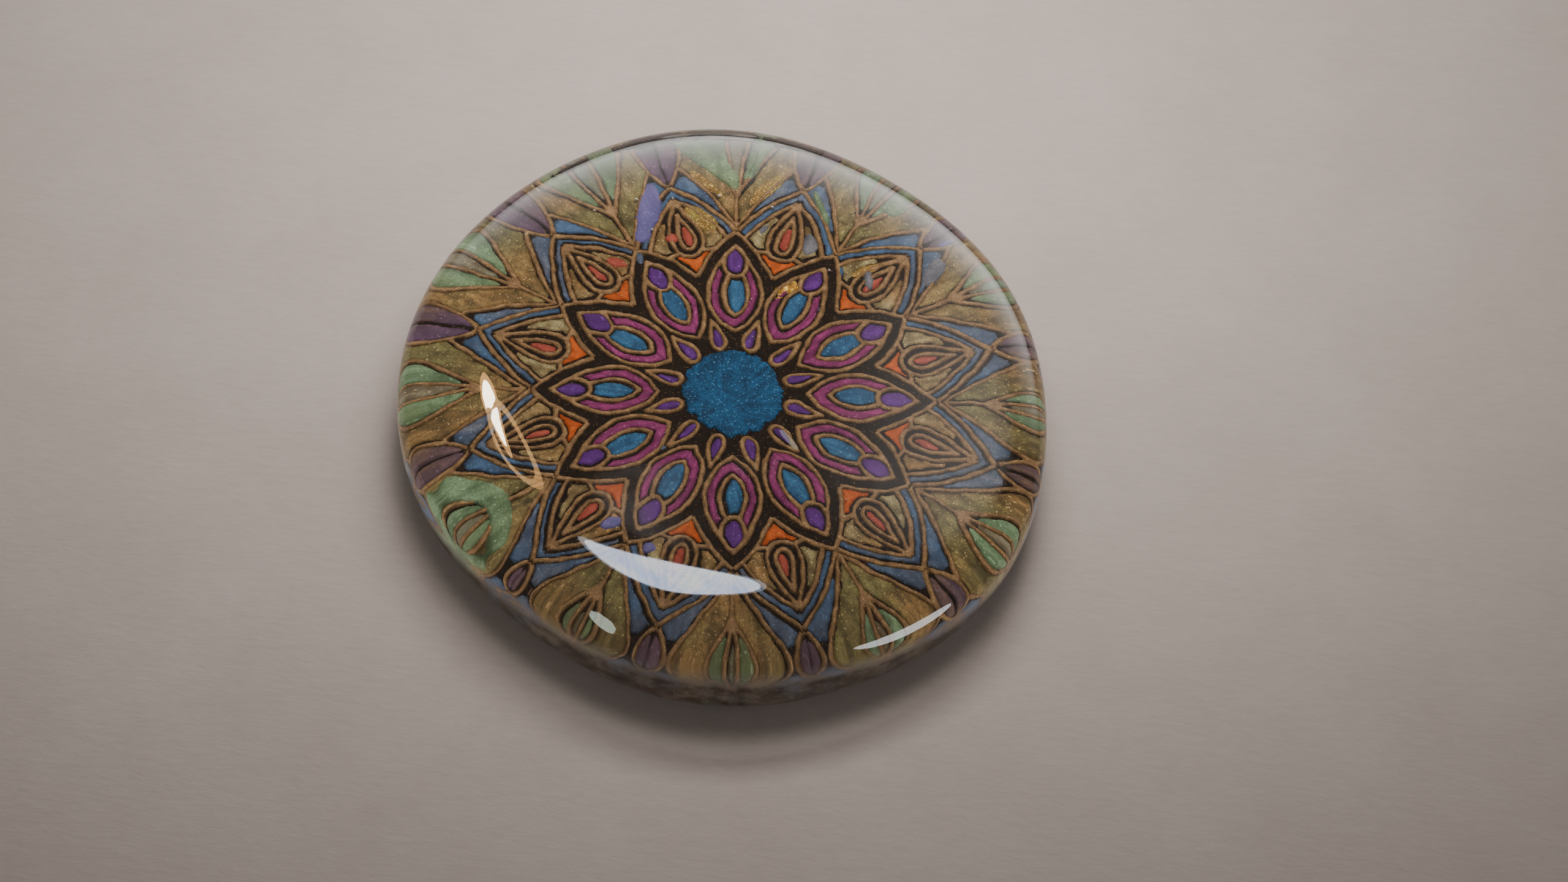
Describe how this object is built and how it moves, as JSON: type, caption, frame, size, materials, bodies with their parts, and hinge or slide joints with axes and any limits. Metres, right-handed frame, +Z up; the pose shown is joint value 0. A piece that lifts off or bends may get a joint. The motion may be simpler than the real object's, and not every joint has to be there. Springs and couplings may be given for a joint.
{
  "type": "decorated glass paperweight",
  "caption": "Low domed lump of clear hand-formed glass over a round painted mandala on black card, laid flat to hold paper down.",
  "frame": {"origin": "centre of the object's box, on the surface it rests on", "axes": "+Z up through the crown of the glass; +X to the right and +Y to the back as a user sees it on the desk"},
  "size_m": [0.0378, 0.0386, 0.0085],
  "materials": {
    "glass": "clear, fire-polished, faintly lumpy, with a few tiny bubbles",
    "adhesive": "clear set adhesive",
    "card": "matt black card",
    "gold_outliner": "raised grainy antique-gold outliner",
    "gold_leaf": "crumpled bright gold leaf",
    "paint_teal": "pearlescent teal-blue paint",
    "paint_violet": "pearlescent violet paint",
    "paint_magenta": "pearlescent magenta paint",
    "paint_orange": "satin orange paint",
    "paint_coral": "satin coral-red paint",
    "paint_lime": "pearlescent pale olive-lime paint",
    "paint_blue": "pearlescent mid-blue paint",
    "paint_plum": "dull plum paint",
    "paint_olive": "pearlescent olive-gold paint",
    "paint_mint": "pearlescent mint paint",
    "paint_tan": "satin tan paint"
  },
  "bodies": {
    "root": {"glass_gem": "glass", "adhesive_film": "adhesive", "picture_card": "card", "gold_drop_rings": "gold_outliner", "gold_petal_lines": "gold_outliner", "gold_kite_lines": "gold_outliner", "gold_chevron_lines": "gold_outliner", "gold_vein_lines": "gold_outliner", "gold_leaf_fleck": "gold_leaf", "paint_centre_blue": "paint_teal", "paint_drop_violet": "paint_violet", "paint_petal_magenta": "paint_magenta", "paint_leaf_teal": "paint_teal", "paint_dot_purple": "paint_violet", "paint_kite_orange": "paint_orange", "paint_seed_coral": "paint_coral", "paint_kite_lime": "paint_lime", "paint_chevron_blue": "paint_blue", "paint_band_blue": "paint_blue", "paint_arch_plum": "paint_plum", "paint_arch_olive": "paint_olive", "paint_blade_mint": "paint_mint", "paint_wedge_tan": "paint_tan"}
  },
  "joints": []
}
